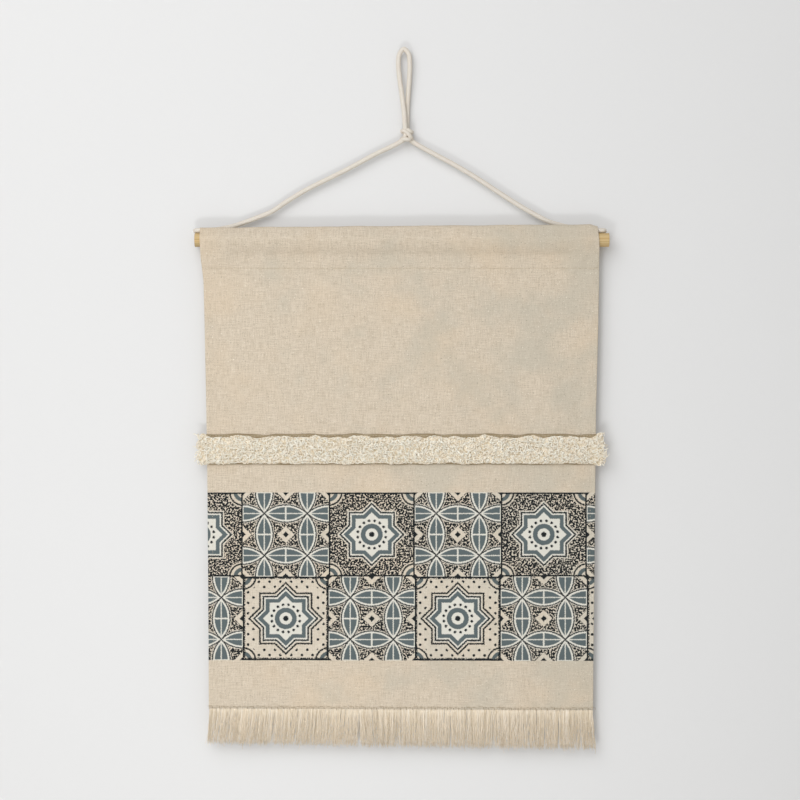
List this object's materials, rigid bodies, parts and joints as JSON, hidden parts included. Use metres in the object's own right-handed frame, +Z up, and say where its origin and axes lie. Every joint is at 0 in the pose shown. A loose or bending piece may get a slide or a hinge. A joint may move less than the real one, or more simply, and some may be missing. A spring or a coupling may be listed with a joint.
{
  "type": "tapestry wall hanging",
  "caption": "Canvas wall hanging with a pile band, a printed tile border and a warp fringe, on a wooden dowel in a rod pocket, hung from a knotted cotton cord.",
  "frame": {"origin": "where a nail touches the inside of the hanging loop, in the plane of the cord", "axes": "+Z up as it hangs, +X to the right of someone who looks at the front, the front faces -Y and the wall is on the +Y side"},
  "size_m": [0.6028, 0.0309, 1.0164],
  "materials": {
    "wood": "plain sanded softwood",
    "canvas": "natural plain-weave cotton canvas with slubs, printed across the lower third",
    "warp_yarn": "loose unravelled cotton warp",
    "pile_yarn": "short curled cream cotton pile",
    "cotton_cord": "soft round-braided off-white cotton",
    "thread": "matt sewing thread"
  },
  "bodies": {
    "hanger": {"hanging_loop": "cotton_cord", "apex_knot": "cotton_cord", "hanger_cord_left": "cotton_cord", "hanger_cord_right": "cotton_cord"},
    "rod": {"dowel": "wood", "cord_tie_left": "cotton_cord", "cord_tie_right": "cotton_cord", "stopper_knot_left": "cotton_cord", "stopper_knot_right": "cotton_cord"},
    "sleeve": {"rod_sleeve": "canvas", "sleeve_seam_thread": "thread"},
    "panel": {"canvas_panel": "canvas", "side_hem_left": "canvas", "side_hem_right": "canvas", "hem_thread_left": "thread", "hem_thread_right": "thread", "pile_tape": "canvas", "pile_tufts": "pile_yarn", "pile_thread_upper": "thread", "pile_thread_lower": "thread", "fringe_edge_thread": "thread"},
    "fringe": {"fringe_bunch_1": "warp_yarn", "fringe_bunch_2": "warp_yarn", "fringe_bunch_3": "warp_yarn", "fringe_bunch_4": "warp_yarn", "fringe_bunch_5": "warp_yarn", "fringe_bunch_6": "warp_yarn", "fringe_bunch_7": "warp_yarn"}
  },
  "joints": [
    {"name": "hanger_fold", "type": "hinge", "parent": "hanger", "child": "rod", "pos_m": [0, 0, -0.2615], "axis": [1, 0, 0], "range_deg": [0, 135]},
    {"name": "sleeve_slide", "type": "slide", "parent": "rod", "child": "sleeve", "axis": [1, 0, 0], "range_m": [-0.002, 0.004]},
    {"name": "panel_lift", "type": "hinge", "parent": "sleeve", "child": "panel", "pos_m": [0, -0.01, -0.319], "axis": [-1, 0, 0], "range_deg": [0, 90]},
    {"name": "fringe_swing", "type": "hinge", "parent": "panel", "child": "fringe", "pos_m": [0, -0.01, -0.956], "axis": [-1, 0, 0], "range_deg": [-30, 80]}
  ]
}
